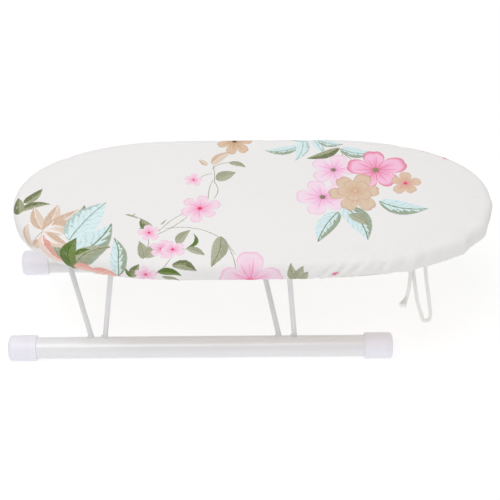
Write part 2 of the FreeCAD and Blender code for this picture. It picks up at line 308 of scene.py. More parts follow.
def new_group(name, labels):
    """A node group whose inputs have these labels, and whose output is a colour."""
    tree = bpy.data.node_groups.new(name, "ShaderNodeTree")
    for label in labels:
        kind = "Vector" if label == "Place" else "Color" if label in COLOUR_SOCKETS else "Float"
        tree.interface.new_socket(name=label, in_out="INPUT", socket_type="NodeSocket" + kind)
    tree.interface.new_socket(name="Colour", in_out="OUTPUT", socket_type="NodeSocketColor")
    nodes = Nodes(tree)
    given = nodes.add("NodeGroupInput").outputs
    result = nodes.add("NodeGroupOutput").inputs[0]
    return tree, nodes, given, result


def flower_group():
    """One printed flower: round petals with veins, a deep throat and an eye.

    Half is half the count of petals.
    """
    tree, nodes, given, result = new_group(
        "printed_flower",
        ("Place", "Under", "Wash", "Petal", "Edge", "Throat", "Eye", "Half", "Turn", "Band", "Fade"),
    )
    across, along, _ = nodes.split(given["Place"])
    square = nodes.linear(across, across, nodes.times(along, along))
    reach = nodes.math("SQRT", square)
    turn = nodes.math("ARCTAN2", along, across)
    lobe = nodes.math("ABSOLUTE", nodes.math("COSINE", nodes.times(turn, given["Half"])))
    rim = nodes.linear(nodes.math("POWER", lobe, 0.5), 0.56, 0.40)
    rim = nodes.linear(nodes.math("POWER", lobe, 24.0), -0.05, rim)
    uneven = nodes.sine(nodes.linear(turn, 2.0, given["Turn"]))
    rim = nodes.linear(uneven, 0.05, rim)
    other_turn = nodes.times(given["Turn"], 2.3)
    uneven = nodes.sine(nodes.linear(turn, 3.0, other_turn))
    rim = nodes.linear(uneven, 0.05, rim)
    share = nodes.math("DIVIDE", reach, rim)
    inside = nodes.ramp(share, -26.0, 26.0)
    fade = nodes.ramp(share, 1.5, -0.55)
    fade = nodes.times(fade, given["Wash"], clamp=True)
    rise = nodes.less(share, 1.0)
    edge = nodes.ramp(rise, given["Band"], 1.0)
    fork = nodes.ramp(lobe, -6.0, 1.0)
    edge = nodes.math("MAXIMUM", edge, nodes.times(fork, share))
    edge = nodes.times(edge, 0.85)
    threads = nodes.sine(nodes.times(turn, 35.0))
    sway = nodes.sine(nodes.times(turn, 12.0))
    depth = nodes.less(nodes.linear(sway, 0.16, 0.62), share)
    threads = nodes.ramp(threads, 1.8, 0.2)
    veins = nodes.times(nodes.times(threads, depth), 2.0, clamp=True)
    glow = nodes.ramp(share, -3.4, 0.92)
    deep = nodes.math("MAXIMUM", veins, glow)
    eye = nodes.ramp(reach, -30.0, 3.6)
    colour = nodes.blend(nodes.times(fade, given["Fade"]), given["Petal"], PAPER)
    colour = nodes.blend(edge, colour, given["Edge"])
    colour = nodes.blend(deep, colour, given["Throat"])
    colour = nodes.blend(eye, colour, given["Eye"])
    strength = nodes.linear(given["Wash"], 0.2, 0.78)
    cover = nodes.times(inside, strength, clamp=True)
    nodes.put(result, nodes.blend(cover, given["Under"], colour))
    return tree


def leaf_group():
    """One printed leaf: a bent lens with a rib, side veins and a ragged darker half."""
    tree, nodes, given, result = new_group(
        "printed_leaf",
        ("Place", "Under", "Wash", "Dark", "Light", "Rib", "Border", "Width", "Bend"),
    )
    along, across, _ = nodes.split(given["Place"])
    along = nodes.math("MAXIMUM", nodes.math("MINIMUM", along, 1.0), 0.0)
    bow = nodes.times(nodes.less(1.0, along), along)
    across = nodes.linear(nodes.times(bow, -4.0), given["Bend"], across)
    off = nodes.math("ABSOLUTE", across)
    half = nodes.times(nodes.math("POWER", along, 0.62), nodes.less(1.0, along))
    half = nodes.times(nodes.times(half, 1.3), given["Width"])
    inside = nodes.times(nodes.less(half, off), 60.0, clamp=True)
    side = nodes.math("DIVIDE", across, nodes.math("MAXIMUM", half, 0.001))
    slant = nodes.linear(off, -1.4, along)
    sway = nodes.times(given["Wash"], 9.0)
    teeth = nodes.sine(nodes.linear(slant, 40.0, sway))
    ragged = nodes.linear(teeth, 0.13, side)
    ragged = nodes.linear(nodes.less(given["Wash"], 0.9), 0.9, ragged)
    dark = nodes.times(nodes.less(ragged, given["Border"]), 5.0, clamp=True)
    rib = nodes.ramp(off, -90.0, 1.5)
    veins = nodes.ramp(teeth, 5.0, -4.2)
    lines = nodes.ramp(veins, 0.55, rib)
    border = nodes.ramp(nodes.less(half, off), -110.0, 1.6)
    lines = nodes.ramp(nodes.times(border, dark), 0.7, lines)
    colour = nodes.blend(dark, given["Light"], given["Dark"])
    colour = nodes.blend(lines, colour, given["Rib"])
    cover = nodes.times(inside, nodes.linear(given["Wash"], 0.2, 0.8), clamp=True)
    nodes.put(result, nodes.blend(cover, given["Under"], colour))
    return tree


def stem_group():
    """One printed stem: a thin bent line from 0 to 1."""
    labels = ("Place", "Under", "Bend", "Thick")
    tree, nodes, given, result = new_group("printed_stem", labels)
    along, across, _ = nodes.split(given["Place"])
    rest = nodes.less(1.0, along)
    bow = nodes.times(nodes.times(rest, along), -4.0)
    off = nodes.math("ABSOLUTE", nodes.linear(bow, given["Bend"], across))
    line = nodes.less(1.4, nodes.math("DIVIDE", off, given["Thick"]), clamp=True)
    ends = nodes.times(nodes.math("MINIMUM", along, rest), 60.0, clamp=True)
    cover = nodes.times(nodes.times(line, ends), 0.85)
    nodes.put(result, nodes.blend(cover, given["Under"], tint(132, 138, 96)))
    return tree


# In millimetres.
STEM_THICKNESS = 0.42


# So small that it moves nothing: it only makes each motif wait for the one under it, because
# a render can hold few values at once.
WAIT = 1e-9


def after(nodes, spot, colour):
    """The same spot, worked out once the colour under it is known."""
    if not isinstance(colour, bpy.types.NodeSocket):
        return spot
    return nodes.vector("MULTIPLY_ADD", colour, (WAIT, WAIT, WAIT), spot)


def line_place(nodes, spot, under, start_x, start_y, end_x, end_y, side=1.0):
    """Coordinates along a line, 0 at its start and 1 at its end, and the line's length in mm."""
    length = math.hypot(end_x - start_x, end_y - start_y)
    turn = math.atan2(end_y - start_y, end_x - start_x)
    scale = length * MM
    here = after(nodes, spot, under)
    place = nodes.place(here, (start_x * MM, start_y * MM, 0), turn, (scale, side * scale, scale))
    return place, length


def stamp(nodes, motif, place, under, *values):
    """Print one motif on the colour under it; values are in the order of its group's labels."""
    return nodes.feed(nodes.add("ShaderNodeGroup", node_tree=motif), place, under, *values)


def printed(nodes, spot, wash):
    """The print's colour at a spot of the flat cloth."""
    flower, leaf, stem = flower_group(), leaf_group(), stem_group()
    colour = PAPER
    for start_x, start_y, end_x, end_y, bend in STEMS:
        place, length = line_place(nodes, spot, colour, start_x, start_y, end_x, end_y)
        colour = stamp(nodes, stem, place, colour, bend, STEM_THICKNESS / length)
    for kind, start_x, start_y, end_x, end_y, width, bend in LEAVES:
        side = math.copysign(1.0, width)
        place, _ = line_place(nodes, spot, colour, start_x, start_y, end_x, end_y, side)
        *steps, border = LEAF_TINTS[kind]
        tints = [tint(*step) for step in steps]
        colour = stamp(nodes, leaf, place, colour, wash, *tints, border, abs(width), bend)
    for kind, x, y, radius, turn, petals in FLOWERS:
        size = radius * MM
        here = after(nodes, spot, colour)
        place = nodes.place(here, (x * MM, y * MM, 0), math.radians(turn), (size, size, size))
        habit = (0.5 * petals, float(turn), EDGE_BANDS.get(kind, THIN_BAND), FADES.get(kind, FULL_FADE))
        tints = [tint(*steps) for steps in FLOWER_TINTS[kind]]
        colour = stamp(nodes, flower, place, colour, wash, *tints, *habit)
    return colour


# ==== materials ====

THREAD_PITCH = 0.42 * MM
SEAM_PITCH = 3.2 * MM


def weave(nodes, spot, pitch):
    """The height of a plain weave: threads over and under each other."""
    x, y, _ = nodes.split(spot)
    turns = math.pi / pitch
    first = nodes.sine(nodes.times(x, turns))
    second = nodes.sine(nodes.times(y, turns))
    return nodes.times(first, second)


def cover_material(seams):
    """Printed cotton: the floral print, a plain weave, slubs, and rows of stitches at the hem."""
    nodes = new_material("printed_cotton_cloth")
    cut = nodes.add("ShaderNodeUVMap", uv_map="cut").outputs[0]
    drift = nodes.noise(cut, 420.0, 2.0, output="Color")
    spot = nodes.shift(cut, drift, 1.5 * MM)
    wash = nodes.linear(nodes.noise(cut, 130.0, 4.0, 0.6), 1.6, 0.1)
    colour = printed(nodes, spot, wash)
    slub = nodes.noise(nodes.place(cut, scale=(0.2, 4.0, 1.0)), 300.0, 3.0, 0.6)
    slub_2 = nodes.noise(nodes.place(cut, scale=(4.0, 0.2, 1.0)), 300.0, 3.0, 0.6)
    uneven = nodes.math("ADD", slub, slub_2)
    cloudy = nodes.noise(cut, 9.0, 3.0, 0.5)
    tone = nodes.linear(cloudy, 0.035, nodes.linear(uneven, 0.05, 0.93))
    run = nodes.add("ShaderNodeUVMap", uv_map="run").outputs[0]
    round_it, out, _ = nodes.split(run)
    dash = nodes.sine(nodes.times(round_it, 2 * math.pi / SEAM_PITCH))
    dash = nodes.ramp(dash, 4.0, 2.0)
    stitches = 0.0
    for seam in seams:
        off = nodes.math("ABSOLUTE", nodes.less(out, seam))
        row = nodes.ramp(off, -5.0 / MM, 2.2)
        stitches = nodes.ramp(row, dash, stitches)
    tone = nodes.linear(stitches, -0.05, tone)
    grey = nodes.feed(nodes.add("ShaderNodeCombineColor"), tone, tone, tone)
    colour = nodes.blend(1.0, colour, grey, "MULTIPLY")
    threads = weave(nodes, cut, THREAD_PITCH)
    height = nodes.linear(uneven, 0.8, threads)
    normal = nodes.bump(height, 0.05 * MM, 0.6)
    normal = nodes.bump(stitches, 0.35 * MM, 0.8, normal)
    rough = nodes.ramp(uneven, 0.12, 0.76)
    nodes.surface(colour, normal, rough)
    set_all(nodes.shader, {"Sheen Weight": 0.12, "Sheen Roughness": 0.5, "Specular IOR Level": 0.25})
    return nodes.material


def cord_material():
    """White cotton yarn: fine fibres running round each strand."""
    nodes = new_material("white_cotton_cord")
    yarn = nodes.add("ShaderNodeUVMap", uv_map="yarn").outputs[0]
    around, along, _ = nodes.split(yarn)
    slant = nodes.linear(along, 1.1 / MM, nodes.times(around, 2 * math.pi * 6))
    fibres = nodes.sine(slant)
    fuzz = nodes.noise(object_place(nodes), 2600.0, 3.0, 0.6)
    soft = nodes.noise(object_place(nodes), 160.0, 2.0)
    height = nodes.linear(fuzz, 1.4, fibres)
    shade = nodes.ramp(soft, 0.5, nodes.times(fuzz, 0.5))
    nodes.surface(
        nodes.blend(shade, tint(240, 239, 236), tint(253, 253, 252)),
        nodes.bump(height, 0.05 * MM, 0.7),
        nodes.ramp(fuzz, 0.2, 0.75),
    )
    set_all(nodes.shader, {"Sheen Weight": 0.2})
    return nodes.material


def foam_material():
    """Pale foam with open cells."""
    nodes = new_material("open_cell_foam")
    spot = object_place(nodes)
    cells = nodes.cells(spot, 900.0)
    grain = nodes.noise(spot, 500.0, 3.0)
    shade = nodes.ramp(cells, 0.7, nodes.times(grain, 0.4))
    nodes.surface(
        nodes.blend(shade, tint(206, 200, 186), tint(240, 237, 228)),
        nodes.bump(cells, 0.5 * MM, 0.8),
        nodes.ramp(grain, 0.1, 0.85),
    )
    return nodes.material


def fibreboard_material():
    """Brown hardboard: pressed fibres with darker flecks."""
    nodes = new_material("pressed_fibreboard")
    spot = object_place(nodes)
    fibres = nodes.noise(nodes.place(spot, scale=(3.0, 1.0, 1.0)), 900.0, 4.0, 0.7)
    flecks = nodes.noise(spot, 160.0, 5.0, 0.7, 0.6)
    colour = nodes.blend(fibres, tint(190, 166, 132), tint(222, 203, 172))
    dark = nodes.ramp(flecks, -5.0, 2.1)
    colour = nodes.blend(nodes.times(dark, 0.6), colour, tint(158, 128, 92))
    nodes.surface(colour, nodes.bump(fibres, 0.12 * MM, 0.6), nodes.ramp(flecks, 0.25, 0.62))
    return nodes.material


def coated_material(name, dark, light, peel, rough):
    """Glossy powder coating over steel: fine orange peel, and faint rubs and dust."""
    nodes = new_material(name)
    spot = object_place(nodes)
    ripple = nodes.noise(spot, 700.0, 2.0, 0.5)
    rubs = nodes.noise(nodes.place(spot, scale=(6.0, 1.0, 1.0)), 120.0, 5.0, 0.65)
    patches = nodes.noise(spot, 24.0, 3.0, 0.5)
    shade = nodes.ramp(rubs, 0.5, nodes.times(patches, 0.5))
    nodes.surface(
        nodes.blend(shade, dark, light),
        nodes.bump(ripple, peel, 0.5),
        nodes.ramp(rubs, 0.22, rough),
    )
    set_all(nodes.shader, {"Coat Weight": 0.5, "Coat Roughness": 0.1})
    return nodes.material


def cap_material():
    """Soft, faintly violet white moulded plastic with a satin finish."""
    nodes = new_material("violet_white_plastic")
    spot = object_place(nodes)
    grain = nodes.noise(spot, 1500.0, 2.0)
    flow = nodes.noise(nodes.place(spot, scale=(1.0, 3.0, 3.0)), 60.0, 3.0)
    nodes.surface(
        nodes.blend(flow, tint(238, 235, 248), tint(249, 247, 255)),
        nodes.bump(grain, 0.03 * MM, 0.5),
        nodes.ramp(flow, 0.2, 0.36),
    )
    set_all(nodes.shader, {"Subsurface Weight": 0.15, "Subsurface Radius": (0.004, 0.004, 0.005)})
    return nodes.material


def metal_material(name, dark, light, rough):
    """Bare plated steel: drawn lines, spangle and dull spots."""
    nodes = new_material(name)
    spot = object_place(nodes)
    lines = nodes.noise(nodes.place(spot, scale=(8.0, 0.6, 1.0)), 500.0, 3.0, 0.6)
    spangle = nodes.cells(spot, 260.0)
    shade = nodes.ramp(spangle, 0.6, nodes.times(lines, 0.4))
    nodes.surface(
        nodes.blend(shade, dark, light),
        nodes.bump(lines, 0.02 * MM, 0.5),
        nodes.ramp(spangle, 0.25, rough),
    )
    set_all(nodes.shader, {"Metallic": 1.0})
    return nodes.material


# ==== shapes ====


def distances(line):
    """How far along a line each of its points is."""
    steps = np.linalg.norm(np.diff(line, axis=0), axis=1)
    return np.concatenate(([0.0], np.cumsum(steps)))


def points_at(line, travel, wanted):
    """The points of a line at the wanted distances along it."""
    return np.stack([np.interp(wanted, travel, column) for column in line.T], axis=1)


def ring_faces(rings, sides, start=0):
    """The faces between closed rings of points that follow each other from index start."""
    faces = []
    for ring in range(rings - 1):
        low = start + ring * sides
        for step in range(sides):
            beside = (step + 1) % sides
            faces.append((low + step, low + beside, low + sides + beside, low + sides + step))
    return faces


QUARTER_STEPS = 2000


def signed_power(value, size):
    """A coordinate of the rounded end at a cosine or sine, from -size to size."""
    return math.copysign(abs(value) ** (2.0 / END_POWER), value) * size


def board_outline(count):
    """Evenly spaced points round the outline from its +X tip, their normals, and how far round."""
    shoulder = HALF_LENGTH - END_LENGTH
    quarter = []
    for step in range(QUARTER_STEPS + 1):
        turn = 0.5 * math.pi * step / QUARTER_STEPS
        x = shoulder + signed_power(math.cos(turn), END_LENGTH)
        quarter.append((x, signed_power(math.sin(turn), HALF_WIDTH)))
    quarter = np.array(quarter)
    left = quarter[::-1] * (-1, 1)
    upper = np.concatenate((quarter, left))
    lower = upper[::-1][1:] * (1, -1)
    loop = np.concatenate((upper, lower))
    travel = distances(loop)
    wanted = np.arange(count) * travel[-1] / count
    points = points_at(loop, travel, wanted)
    tangent = np.roll(points, -1, axis=0) - np.roll(points, 1, axis=0)
    tangent /= np.linalg.norm(tangent, axis=1)[:, None]
    normals = np.stack((tangent[:, 1], -tangent[:, 0]), axis=1)
    return points, normals, wanted, travel[-1]


def scene_object(name, data):
    piece = bpy.data.objects.new(name, data)
    bpy.context.scene.collection.objects.link(piece)
    return piece


def middle_line(points):
    """The point of the board's middle line that each point of the outline belongs to."""
    half_line = HALF_LENGTH - HALF_WIDTH
    return np.stack((np.clip(points[:, 0], -half_line, half_line), np.zeros(len(points))), axis=1)


def mesh_object(name, points, faces, layers, material):
    """A smooth mesh piece with UV layers given per face corner, riding on the board."""
    mesh = bpy.data.meshes.new(name)
    mesh.from_pydata([tuple(point) for point in points], [], faces)
    for label, corners in layers.items():
        layer = mesh.uv_layers.new(name=label)
        layer.data.foreach_set("uv", np.asarray(corners, dtype=np.float32).ravel())
    mesh.shade_smooth()
    mesh.materials.append(material)
    piece = scene_object(name, mesh)
    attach(piece, "board")
    return piece


def sine_mix(position, length, seed):
    """A smooth uneven wave along position, about -1 to 1, with bends about a length apart."""
    chance = random.Random(seed)
    total = np.zeros_like(position)
    for share in (1.0, 0.73, 0.51, 0.37):
        total += np.sin(2 * math.pi * share * position / length + chance.uniform(0, 2 * math.pi))
    return 0.4 * total


# ---- the cover ----

AROUND = 720
TOP_RINGS = 24
SHOULDER_INSET = 9.0
CLOTH_THICKNESS = 0.45

# The cloth's way from the top's shoulder to the hem: inset from the outline, and height.
COVER_LINE = (
    (9.0, 184.0), (6.6, 183.8), (4.3, 182.9), (2.3, 181.4), (0.9, 179.3), (0.2, 176.6),
    (0.0, 173.5), (0.0, 170.4), (0.0, 167.4), (0.1, 164.8), (0.5, 162.4), (1.6, 160.7),
    (3.6, 159.8), (6.4, 159.6), (9.6, 159.8), (12.6, 160.0), (15.2, 159.8), (16.8, 158.9),
    (17.6, 157.6), (19.2, 156.8), (21.6, 156.8), (23.6, 157.6), (24.4, 159.0), (23.6, 160.5),
    (21.6, 161.1), (19.0, 161.15),
)
ROWS_PER_STEP = 2
HEM_TURN = 17.5


def cover_line():
    """The cover's line with points added between, its outward normals and how far along."""
    given = np.array(COVER_LINE)
    travel = distances(given)
    wanted = np.linspace(0, travel[-1], ROWS_PER_STEP * (len(given) - 1) + 1)
    rows = points_at(given, travel, wanted)
    for _ in range(2):
        rows[1:-1] = 0.25 * rows[:-2] + 0.5 * rows[1:-1] + 0.25 * rows[2:]
    way = np.gradient(rows, axis=0)
    way /= np.linalg.norm(way, axis=1)[:, None]
    # Outward of a line that goes outward and down: the inset falls and the height falls.
    normals = np.stack((way[:, 1], -way[:, 0]), axis=1)
    return rows, normals, wanted


# Tucks in the skirt: a place on the outline in plan, width along it, how far out, slant.
TUCKS = (
    (70, -101, 3.0, -0.8, 0.9), (88, -101, 3.0, -2.4, 0.8), (94, -101, 3.5, 1.8, 0.8),
    (103, -101, 3.0, -2.7, 0.8), (108, -101, 3.0, 1.8, 0.8), (117, -100, 3.0, -2.5, 0.9),
    (123, -99, 4.0, 1.8, 0.7), (134, -98, 3.5, -1.4, 0.6), (147, -97, 2.4, -3.6, 0.3),
    (152, -96, 3.0, 2.1, 0.3), (166, -92, 5.0, -1.4, 0.3), (178, -89, 4.0, 1.4, 0.2),
    (190, -85, 4.0, -1.7, 0.1), (206, -78, 7.0, -1.7, 0.0), (232, -62, 6.0, 2.1, 0.0),
    (240, -54, 7.0, -1.6, 0.0), (253, -36, 6.0, 1.9, 0.0), (260, -22, 7.0, -1.2, 0.0),
    (268, -4, 6.0, 0.9, 0.0), (40, -101, 4.0, -0.7, 0.5), (14, -101, 5.0, 0.6, 0.4),
    (-60, -101, 5.0, 0.8, 0.3), (-70, -101, 3.0, -0.8, 0.3), (-96, -100, 3.0, -0.8, 0.2),
    (-130, -97, 6.0, -0.7, 0.0), (-156, -94, 5.0, 0.8, 0.0), (-196, -80, 6.0, -0.8, 0.0),
    (20, 101, 5.0, 0.8, 0.0), (29, 101, 4.0, -0.8, 0.0), (70, 101, 4.0, -0.9, -0.4),
    (-80, 101, 4.0, -0.9, 0.4), (180, 88, 5.0, -1.2, 0.0), (-200, 78, 5.0, -1.2, 0.0),
)

# How round a tuck's crease is.
CREASE_ROUNDING = 1.2

# How far a fold may go in, by the distance out from the shoulder, so that it clears the
# foam and the panel.
DEEPEST = ((0.0, 0.6), (5.0, 0.6), (7.5, 1.0), (10.0, 1.6), (12.5, 2.0), (30.0, 2.0), (34.0, 0.8))

# Where the hem is pulled tighter at the front: middle and half length along X, and how far in.
TIGHT_MIDDLE = 122.0
TIGHT_HALF = 42.0
TIGHT_DEPTH = 1.9

# How strongly the tucks go on over the shoulder, and how far in over the top.
TOP_TUCK_SHARE = 0.3
TOP_TUCK_REACH = 26.0


def tucked(points, place, reach):
    """How far the tucks stand out at a distance out from the shoulder, in millimetres."""
    total = np.zeros(AROUND)
    for tuck_x, tuck_y, width, depth, slant in TUCKS:
        away = np.hypot(points[:, 0] / MM + BOARD_X / MM - tuck_x, points[:, 1] / MM - tuck_y)
        gap = place - place[np.argmin(away)] + slant * (reach - 14.0)
        total += depth * np.exp(-(np.hypot(gap, CREASE_ROUNDING) - CREASE_ROUNDING) / width)
    return total


# Parts of the cloth's way, out from the shoulder: where each begins, and how soon it is in full.
SKIRT_PART = (8.0, 12.0)
UNDER_PART = (24.0, 9.0)
HEM_PART = (36.0, 5.0)
TIGHT_PART = (16.0, 8.0)

# The folds that the drawstring makes are fuller at the board's round ends, from here along X.
ENDS_PART = (60, 130)
SIDE_SHARE = 0.35

FOLD_PITCH = 8.4
FINE_PITCH = 4.6
SKIRT_FOLD = 0.10
UNDER_FOLD = 0.9
HEM_FOLD = 0.35
LUMP_HEIGHT = 0.42


def rise(value, part):
    """From 0 where a part begins to 1 where it is in full."""
    return np.clip((value - part[0]) / part[1], 0.0, 1.0)


def pleats(place, pitch):
    """Sharp folds with round valleys along a line, from -1 to 1."""
    return 1.0 - 2.0 * np.abs(np.sin(math.pi * place / pitch))


def gathers(points, travel, out):
    """How far the cloth stands out of its smooth shape, for each place round and each row."""
    x = points[:, 0]
    fullness = rise(np.abs(x) / MM, ENDS_PART)
    fullness = SIDE_SHARE + (1.0 - SIDE_SHARE) * fullness**2 * (3 - 2 * fullness)
    place = travel / MM
    warped = place + 4.0 * sine_mix(place, 46.0, 3)
    folds = pleats(warped, FOLD_PITCH)
    fine = pleats(warped + 1.7 * sine_mix(place, 17.0, 5), FINE_PITCH)
    lumps = sine_mix(place, 34.0, 8) + 0.6 * sine_mix(place, 15.0, 9)
    along = ((x + BOARD_X) / MM - TIGHT_MIDDLE) / TIGHT_HALF
    tight = np.where(points[:, 1] < 0, TIGHT_DEPTH * np.exp(-(along**4)), 0.0)
    rows = []
    for reach in out:
        start = np.clip((reach + 4.0) / 14.0, TOP_TUCK_SHARE, 1.0)
        skirt, under, hem = (rise(reach, part) for part in (SKIRT_PART, UNDER_PART, HEM_PART))
        height = SKIRT_FOLD * skirt * folds * fullness
        height = height - under * (1.0 - 0.6 * hem) * UNDER_FOLD * fullness * folds
        height = height + hem * HEM_FOLD * fullness * fine
        height = height + LUMP_HEIGHT * skirt * (1.0 - 0.7 * under) * lumps * fullness
        height = height + start * (1.0 - 0.8 * under) * tucked(points, place, reach)
        height = height - tight * rise(reach, TIGHT_PART) * (1.0 - hem)
        deepest = np.interp(reach, *zip(*DEEPEST))
        rows.append(np.maximum(height, -deepest) * MM)
    return rows


def cover_mesh():
    """The cover's rows of points from the board's middle line to the hem, and flat places."""
    points, normals, travel, whole = board_outline(AROUND)
    rows, row_normals, out = cover_line()
    centre = middle_line(points)
    shoulder = points - normals * SHOULDER_INSET * MM
    shapes, flats, reaches = [], [], []
    for ring in range(TOP_RINGS):
        share = 1.0 - (1.0 - ring / TOP_RINGS) ** 1.25
        plan = centre + (shoulder - centre) * share
        wave = 0.16 * sine_mix(plan[:, 0] / MM + 0.4 * plan[:, 1] / MM, 90.0, 11)
        wave += 0.10 * sine_mix(plan[:, 1] / MM - 0.3 * plan[:, 0] / MM, 50.0, 12)
        height = np.full(AROUND, TOP) + wave * MM * min(1.0, (1.0 - share) * 8)
        inward = (share - 1.0) * HALF_WIDTH / MM
        lift = TOP_TUCK_SHARE * max(0.0, 1.0 + inward / TOP_TUCK_REACH)
        height += np.clip(lift * tucked(points, travel / MM, inward), -0.5, 0.5) * MM
        shapes.append(np.column_stack((plan, height)))
        flats.append(plan)
        reaches.append(np.full(AROUND, (share - 1.0) * HALF_WIDTH))
    heights = gathers(points, travel, out)
    for (inset, z), (normal_out, normal_up), reach, height in zip(rows, row_normals, out, heights):
        plan = points - normals * inset * MM + normals * (height * -normal_out)[:, None]
        shapes.append(np.column_stack((plan, z * MM + height * normal_up)))
        flats.append(shoulder + normals * reach * MM)
        reaches.append(np.full(AROUND, reach * MM))
    return shapes, flats, reaches, travel, whole


def build_cover(material):
    shapes, flats, reaches, travel, whole = cover_mesh()
    points = np.concatenate(shapes)
    points[:, 0] += BOARD_X
    flat = np.concatenate(flats)
    flat[:, 0] += BOARD_X
    reach = np.concatenate(reaches)
    round_it = np.tile(travel, len(shapes))
    # The middle line's points from the two long sides are one.
    first = {}
    shared = [first.setdefault(round(float(shapes[0][column][0]), 6), column) for column in range(AROUND)]
    faces, cut, run = [], [], []
    for low, low_next, high_next, high in ring_faces(len(shapes), AROUND):
        corners = [low, high, high_next, low_next]
        if low < AROUND:
            corners[0], corners[3] = shared[low], shared[low_next]
            if corners[0] == corners[3]:
                corners.pop()
        faces.append(corners)
        # The last column's far points lie a whole way round, not back at 0.
        far = (low_next, high_next) if low_next % AROUND == 0 else ()
        for corner in corners:
            cut.append(flat[corner])
            run.append((whole if corner in far else round_it[corner], reach[corner]))
    used = sorted({corner for face in faces for corner in face})
    index = {corner: place for place, corner in enumerate(used)}
    faces = [[index[corner] for corner in face] for face in faces]
    cover = mesh_object("printed_cover", points[used], faces, {"cut": cut, "run": run}, material)
    solid = cover.modifiers.new("cloth_thickness", "SOLIDIFY")
    solid.thickness = CLOTH_THICKNESS * MM
    solid.offset = -1.0
    return cover


# ---- the foam pad ----

PAD_AROUND = 360
PAD_INSET = 3.0
PAD_FOOT = 0.8
PAD_EDGE = 6.0
PAD_EDGE_HEIGHT = 4.0
PAD_SHOULDER = 4.6
PAD_CROWN = 0.3
PAD_GAP = 0.6
EDGE_STEPS = 6


def at_height(plan, z):
    return np.column_stack((plan, np.full(len(plan), z)))


def build_pad(material):
    """The foam slab under the cover, with soft edges and a faint crown."""
    points, normals, _, _ = board_outline(PAD_AROUND)
    low, high = (corner[2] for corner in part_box("foam_pad"))
    centre = middle_line(points)
    shoulder = high - PAD_SHOULDER * MM
    sections = [(PAD_INSET + PAD_FOOT, low), (PAD_INSET, low + 1.0 * MM), (PAD_INSET, shoulder)]
    for step in range(1, EDGE_STEPS + 1):
        turn = 0.5 * math.pi * step / EDGE_STEPS
        inset = PAD_INSET + PAD_EDGE * (1 - math.cos(turn))
        sections.append((inset, shoulder + (PAD_EDGE_HEIGHT * math.sin(turn)) * MM))
    rings = []
    for share in (0.0, 0.35, 0.7):
        plan = centre + (points - normals * (PAD_INSET + PAD_FOOT) * MM - centre) * share
        rings.append(at_height(plan, low))
    for inset, z in sections:
        rings.append(at_height(points - normals * inset * MM, z))
    edge = rings[-1][:, :2]
    for share in (0.9, 0.75, 0.5, 0.25, 0.0):
        plan = centre + (edge - centre) * share
        crown = high - PAD_GAP * MM + PAD_CROWN * MM * (1 - share)
        rings.append(at_height(plan, crown))
    cloud = np.concatenate(rings)
    cloud[:, 0] += BOARD_X
    faces = ring_faces(len(rings), PAD_AROUND)
    pad = mesh_object("foam_layer", cloud, faces, {}, material)
    weld(pad)
    return pad


def weld(piece):
    """Merge the points that lie on each other, and drop the faces that this empties."""
    work = bmesh.new()
    work.from_mesh(piece.data)
    bmesh.ops.remove_doubles(work, verts=work.verts, dist=0.00001)
    bmesh.ops.recalc_face_normals(work, faces=work.faces)
    work.to_mesh(piece.data)
    work.free()


# ---- cords ----


def smooth_line(route, spacing):
    """Even points along the NURBS spline that has the route's points as its control points."""
    curve = bpy.data.curves.new("route", "CURVE")
    curve.dimensions = "3D"
    curve.resolution_u = 32
    spline = curve.splines.new("NURBS")
    spline.points.add(len(route) - 1)
    for point, place in zip(spline.points, route):
        point.co = (*(part * MM for part in place), 1.0)
    spline.order_u = 3
    spline.use_endpoint_u = True
    holder = bpy.data.objects.new("route", curve)
    mesh = bpy.data.meshes.new_from_object(holder)
    line = np.array([tuple(vertex.co) for vertex in mesh.vertices])
    bpy.data.objects.remove(holder)
    bpy.data.curves.remove(curve)
    bpy.data.meshes.remove(mesh)
    return even_points(line, spacing)


def even_points(line, spacing):
    """Points a spacing apart along a line."""
    travel = distances(line)
    count = max(2, int(round(travel[-1] / spacing)))
    return points_at(line, travel, np.linspace(0, travel[-1], count + 1))


def frames_along(line):
    """Two directions across the line at each point, turning as little as they can."""
    way = np.gradient(line, axis=0)
    way /= np.linalg.norm(way, axis=1)[:, None]
    side = np.cross(way[0], (0.0, 1.0, 0.0) if abs(way[0][1]) < 0.9 else (1.0, 0.0, 0.0))
    sides, ups = [], []
    for direction in way:
        side = side - direction * np.dot(side, direction)
        side /= np.linalg.norm(side)
        sides.append(side)
        ups.append(np.cross(direction, side))
    return np.array(sides), np.array(ups)


def tube_part(line, radii, sides, points, faces, corners):
    """Add a round tube along a line to a list of points and faces, closed at both ends."""
    side, up = frames_along(line)
    start = len(points)
    travel = distances(line)
    for index, middle in enumerate(line):
        for step in range(sides):
            turn = 2 * math.pi * step / sides
            way = side[index] * math.cos(turn) + up[index] * math.sin(turn)
            points.append(middle + way * radii[index])
    faces += ring_faces(len(line), sides, start)
    for low, high in zip(travel[:-1], travel[1:]):
        for step in range(sides):
            left, right = step / sides, (step + 1) / sides
            corners += [(left, low), (right, low), (right, high), (left, high)]
    for index, flip in ((0, True), (len(line) - 1, False)):
        ring = [start + index * sides + step for step in range(sides)]
        faces.append(tuple(reversed(ring)) if flip else tuple(ring))
        corners += [(0.5, travel[index])] * sides


STRANDS = 3
STRAND_SHARE = 0.31
ROPE_SHARE = 0.64
LAY_LENGTH = 12.0 * MM
STRAND_SIDES = 9


